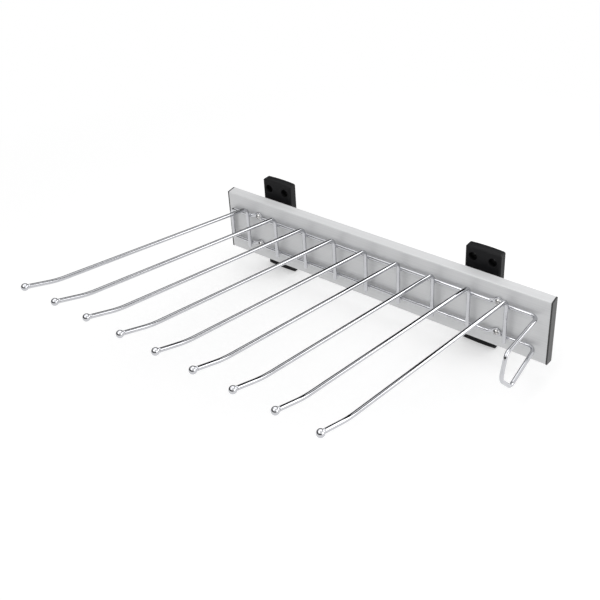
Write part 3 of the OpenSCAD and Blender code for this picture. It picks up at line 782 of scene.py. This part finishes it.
# %% Round the corners
def round_corner(before, corner, after, radius, step=4):
    """Points of the arc that replaces a corner."""
    u = (corner - before).normalized()
    w = (after - corner).normalized()
    turn = u.angle(w)
    start = corner - u * radius * math.tan(turn / 2)
    inward = (w - u * w.dot(u)).normalized()
    centre = start + inward * radius
    steps = max(2, round(math.degrees(turn) / step))
    return [centre + (-inward * math.cos(turn * k / steps) + u * math.sin(turn * k / steps)) * radius
            for k in range(steps + 1)]


def rounded_loop(corners):
    """Centre line of a closed wire."""
    route = []
    count = len(corners)
    for i, (corner, radius) in enumerate(corners):
        route += round_corner(corners[i - 1][0], corner, corners[(i + 1) % count][0], radius)
    return route


route = rounded_loop(frame_corners)
print(len(route), "points, wire length",
      round(sum((route[i] - route[i - 1]).length for i in range(len(route))) * 1000), "mm")

# %% [markdown]
# Four places of the frame are pressed flat into eyes for the screws. A press
# squeezes the round wire against the cover: it gets thin, spreads into a disc, and
# dips toward the cover, then swells back to round. So the sweep needs more points
# near the eyes, and each ring asks how flat and how wide the wire is just there.

# %% The pressed eyes
eye_d, eye_t, eye_flat = 0.011, 0.0026, 0.0046
arm_boxes = [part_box(f"arm_{i}") for i in range(1, 10)]
arm_xs = [(low.x + high.x) / 2 for low, high in arm_boxes]
eye_from_arm = 0.0132
eye_xs = [arm_xs[0] + eye_from_arm, arm_xs[-1] - eye_from_arm]
eye_reach = 0.0095
long_straight = 0.2


def smooth(t):
    """Runs from 0 to 1 with soft ends."""
    t = min(max(t, 0.0), 1.0)
    return t * t * (3 - 2 * t)


def pressed(x):
    """Half width, half thickness, depth and flatness of the long wire at x."""
    off = min(abs(x - eye) for eye in eye_xs)
    back = smooth((off - eye_flat) / (eye_reach - eye_flat))
    half_width = max(wire_d / 2, math.sqrt(max((eye_d / 2) ** 2 - off ** 2, 0)))
    half_thick = eye_t / 2 + (wire_d - eye_t) / 2 * back
    depth = face_d + eye_t / 2 + (long_wire_d - face_d - eye_t / 2) * back
    return half_width, half_thick, depth, 1 - back


def with_eye_points(route, step=0.0004):
    """Adds close points to the long straights around each eye."""
    dense = []
    for i, point in enumerate(route):
        following = route[(i + 1) % len(route)]
        dense.append(point)
        if abs(following.x - point.x) > long_straight:
            xs = [eye + k * step for eye in eye_xs
                  for k in range(-round(eye_reach / step), round(eye_reach / step) + 1)]
            for x in sorted(xs, reverse=following.x < point.x):
                dense.append(Vector((x, point.y, point.z)))
    return dense


route = with_eye_points(route)
print(len(route), "points with the eyes")

# %% [markdown]
# Now the ring is carried along the route. Each ring lies across the wire, and its
# first point is kept from twisting by turning it no more than the route turns. On
# the long straights the ring is squeezed by what the press says, and the flatter
# the wire is, the squarer the ring.

# %% Sweep the wire
ring_points = 28
along_x = 0.999
eye_squareness = 0.45


def tube_mesh(name, verts, faces):
    """Smooth-shaded mesh of a tube."""
    mesh = bpy.data.meshes.new(name)
    mesh.from_pydata(verts, [], faces)
    mesh.update()
    mesh.shade_smooth()
    return mesh


def sweep_loop(name, route, radius):
    """Closed tube along the route, pressed flat at the eyes."""
    count = len(route)
    tangents = [(route[(i + 1) % count] - route[i - 1]).normalized() for i in range(count)]
    sides = [Vector((0, -1, 0))]
    for i in range(1, count):
        side = sides[-1] - tangents[i] * sides[-1].dot(tangents[i])
        sides.append(side.normalized())
    last = sides[-1] - tangents[0] * sides[-1].dot(tangents[0])
    drift = math.atan2(tangents[0].dot(last.cross(sides[0])), last.dot(sides[0]))
    verts, faces = [], []
    for i, point in enumerate(route):
        side = Matrix.Rotation(drift * i / count, 3, tangents[i]) @ sides[i]
        across = tangents[i].cross(side)
        straight = abs(tangents[i].x) > along_x
        if straight:
            wide, thick, depth, flat = pressed(point.x)
            power = 1 - eye_squareness * flat
        for k in range(ring_points):
            a = 2 * math.pi * k / ring_points
            offset = side * math.cos(a) + across * math.sin(a)
            if straight:
                y = math.copysign(abs(offset.y) ** power, offset.y) * thick
                verts.append(Vector((point.x, -depth + y, point.z + offset.z * wide)))
            else:
                verts.append(point + offset * radius)
    for i in range(count):
        j = (i + 1) % count
        for k in range(ring_points):
            m = (k + 1) % ring_points
            faces.append((i * ring_points + k, i * ring_points + m, j * ring_points + m, j * ring_points + k))
    return tube_mesh(name, verts, faces)


frame_wire = add_piece("frame_wire", sweep_loop("frame_wire", route, wire_d / 2),
                       chrome_plate, "carriage")
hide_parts("wire_frame")
print("frame wire:", len(frame_wire.data.polygons), "faces")

# %% [markdown]
# ## The arms
# An arm is one more bent wire, this time with two ends. Its leg stands on the two
# long wires, a tight bend turns it forward, and near the tip it is bent up once more.
# That last bend is made over a big roller, so it is soft: the wire turns by only nine
# degrees over some two centimetres. The corners are the model's, but the model bends
# the kink more tightly. All corners lie in one upright plane.

# %% The arm's route
leg_d = 0.0396
leg_foot, leg_top = -0.0265, 0.0321
rod_angle, tip_angle = 10.7, 19.6
kink_reach, tip_reach = 0.307, 0.345
leg_bend_r, kink_r = 0.010, 0.140
rod_end_back = 0.0047
tip_height = sum(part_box("ball_tips")[i].z for i in (0, 1)) / 2


def rise(run, angle):
    """How far a line at that angle climbs over a run."""
    return run * math.tan(math.radians(angle))


def arm_route(x):
    """Centre line of the arm at x, from the leg's foot to the ball."""
    foot = at(x, leg_foot, leg_d)
    bend = at(x, leg_top, leg_d)
    kink = at(x, leg_top + rise(face_d + kink_reach - leg_d, rod_angle), face_d + kink_reach)
    ball = at(x, tip_height, face_d + tip_reach)
    end = ball + (kink - ball).normalized() * rod_end_back
    return ([foot] + round_corner(foot, bend, kink, leg_bend_r)
            + round_corner(bend, kink, end, kink_r, step=0.6) + [end])


print("arm wire:", len(arm_route(0)), "points,",
      round(sum((b - a).length for a, b in zip(arm_route(0), arm_route(0)[1:])) * 1000), "mm")

# %% [markdown]
# The foot was sheared off and tumbled, so its rim is slightly rounded. That is done
# with two more rings at the foot, each a little smaller. One more ring close to the
# other end keeps the shading of the long last stretch straight.

# %% Sweep the arms
rim = 0.0004
rim_shoulder = 0.3


def sweep_arm(name, route, radius):
    """Closed tube along an open route in an upright plane, with a rounded rim at its first end."""
    side = Vector((1, 0, 0))
    first = (route[1] - route[0]).normalized()
    stations = [(route[0], first, radius - rim),
                (route[0] + first * rim * rim_shoulder, first, radius - rim * rim_shoulder),
                (route[0] + first * rim, first, radius)]
    for before, point, after in zip(route, route[1:], route[2:]):
        stations.append((point, (after - before).normalized(), radius))
    last = (route[-1] - route[-2]).normalized()
    stations += [(route[-1] - last * rim, last, radius), (route[-1], last, radius)]
    verts, faces = [], []
    for point, along, size in stations:
        up = side.cross(along)
        for k in range(ring_points):
            a = 2 * math.pi * k / ring_points
            verts.append(point + (side * math.cos(a) + up * math.sin(a)) * size)
    for i in range(len(stations) - 1):
        for k in range(ring_points):
            m = (k + 1) % ring_points
            low, high = i * ring_points, (i + 1) * ring_points
            faces.append((low + k, high + k, high + m, low + m))
    faces.append(tuple(range(ring_points)))
    faces.append(tuple(reversed(range(len(verts) - ring_points, len(verts)))))
    mesh = tube_mesh(name, verts, faces)
    for cap in list(mesh.polygons)[-2:]:
        cap.use_smooth = False
    return mesh


for i, x in enumerate(arm_xs, 1):
    arm = add_piece(f"arm_wire_{i}", sweep_arm(f"arm_wire_{i}", arm_route(x), wire_d / 2),
                    chrome_plate, "carriage")
    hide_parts(f"arm_{i}")
print("arms:", len(arm_xs), "of", len(arm.data.polygons), "faces")

# %% [markdown]
# ## Ball tips
# Each rod ends in a ball. Behind it the wire's end narrows in a rounded shoulder to
# a small waist. A turned shape is made as a lathe would: half its outline, spun
# about the rod's own line.

# %% The tip's outline
ball_d = 0.008
ball_from = 0.0036
shoulder_and_waist = [(-0.0052, 0.00235), (-0.0047, 0.00235), (-0.0045, 0.00215),
                      (-0.0043, 0.0019), (-0.0041, 0.00185), (-0.0038, 0.0019)]


def tip_outline(steps=14):
    """(distance along the rod's line, radius) from the shoulder to the ball's pole."""
    outline = list(shoulder_and_waist)
    radius = ball_d / 2
    begin = math.acos(-ball_from / radius)
    for k in range(steps + 1):
        a = begin * (1 - k / steps)
        outline.append((radius * math.cos(a), radius * math.sin(a)))
    return outline


print(len(tip_outline()), "outline points, ball centre height", round(tip_height * 1000, 1), "mm")

# %% [markdown]
# The outline is spun ring by ring. At the ball's pole the ring shrinks to a single
# point, so the last faces are triangles.

# %% Turn the tips
pole_radius = 1e-7


def turned(bm, outline, placing, segments=32):
    """Spins an outline about the local z axis and adds it to a mesh."""
    turns = [2 * math.pi * k / segments for k in range(segments)]
    rings = []
    for along, radius in outline:
        if radius < pole_radius:
            rings.append([bm.verts.new(placing @ Vector((0, 0, along)))])
        else:
            rings.append([bm.verts.new(placing @ Vector((radius * math.cos(a), radius * math.sin(a), along)))
                          for a in turns])
    for first, second in zip(rings, rings[1:]):
        for k in range(segments):
            m = (k + 1) % segments
            if len(second) == 1:
                bm.faces.new((first[k], first[m], second[0]))
            else:
                bm.faces.new((first[k], first[m], second[m], second[k]))
    bm.faces.new(list(reversed(rings[0])))


bm = bmesh.new()
rod_line = Vector((0, -math.cos(math.radians(tip_angle)), math.sin(math.radians(tip_angle))))
turn = rod_line.to_track_quat("Z", "X").to_matrix().to_4x4()
for x in arm_xs:
    place = Matrix.Translation((x, -(face_d + tip_reach), tip_height))
    turned(bm, tip_outline(), place @ turn)
tips_mesh = mesh_of(bm, "arm_tips")
tips_mesh.shade_smooth()
arm_tips = add_piece("arm_tips", tips_mesh, chrome_plate, "carriage")
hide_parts("ball_tips")
print("tips:", len(arm_tips.data.polygons), "faces")

# %% [markdown]
# ## Welds
# Each leg crosses the two long wires and is welded to both. The weld is a thin
# collar of metal squeezed out round the contact. For each direction round the
# contact, the collar's inner edge follows both round wires, and its lip bulges out
# unevenly, because no two welds are alike.

# %% The weld collars
collar_points = 28
weld_reach, weld_bulge, weld_sunk = 0.00195, 0.00018, 0.00012
weld_ragged, weld_oval = 0.10, 0.06
weld_seed = 7


def weld_collar(bm, x, z, dice):
    """A squeezed collar between the long wire at height z and the leg at x."""
    r = wire_d / 2
    loops = [[], [], []]
    for k in range(collar_points):
        a = 2 * math.pi * k / collar_points
        ragged = weld_ragged * dice.uniform(-1, 1)
        oval = weld_oval * math.sin(2 * a + dice.random())
        out = weld_reach * (1 + ragged + oval)
        dx, dz = out * math.cos(a), out * math.sin(a)
        back = long_wire_d + math.sqrt(max(r * r - dz * dz, 0)) - weld_sunk
        front = leg_d - math.sqrt(max(r * r - dx * dx, 0)) + weld_sunk
        middle = (back + front) / 2
        bulge = out + weld_bulge
        loops[0].append(bm.verts.new((x + dx, -back, z + dz)))
        loops[1].append(bm.verts.new((x + bulge * math.cos(a), -middle, z + bulge * math.sin(a))))
        loops[2].append(bm.verts.new((x + dx, -front, z + dz)))
    for low, high in zip(loops, loops[1:]):
        for k in range(collar_points):
            m = (k + 1) % collar_points
            bm.faces.new((low[k], low[m], high[m], high[k]))
    bm.faces.new(list(reversed(loops[0])))
    bm.faces.new(loops[2])


dice = random.Random(weld_seed)
bm = bmesh.new()
for x in arm_xs:
    for z in (-frame_half, frame_half):
        weld_collar(bm, x, z, dice)
bmesh.ops.recalc_face_normals(bm, faces=bm.faces)
weld_mesh = mesh_of(bm, "weld_beads")
weld_mesh.shade_smooth()
add_piece("weld_beads", weld_mesh, weld_chrome, "carriage")
print("welds:", 2 * len(arm_xs))
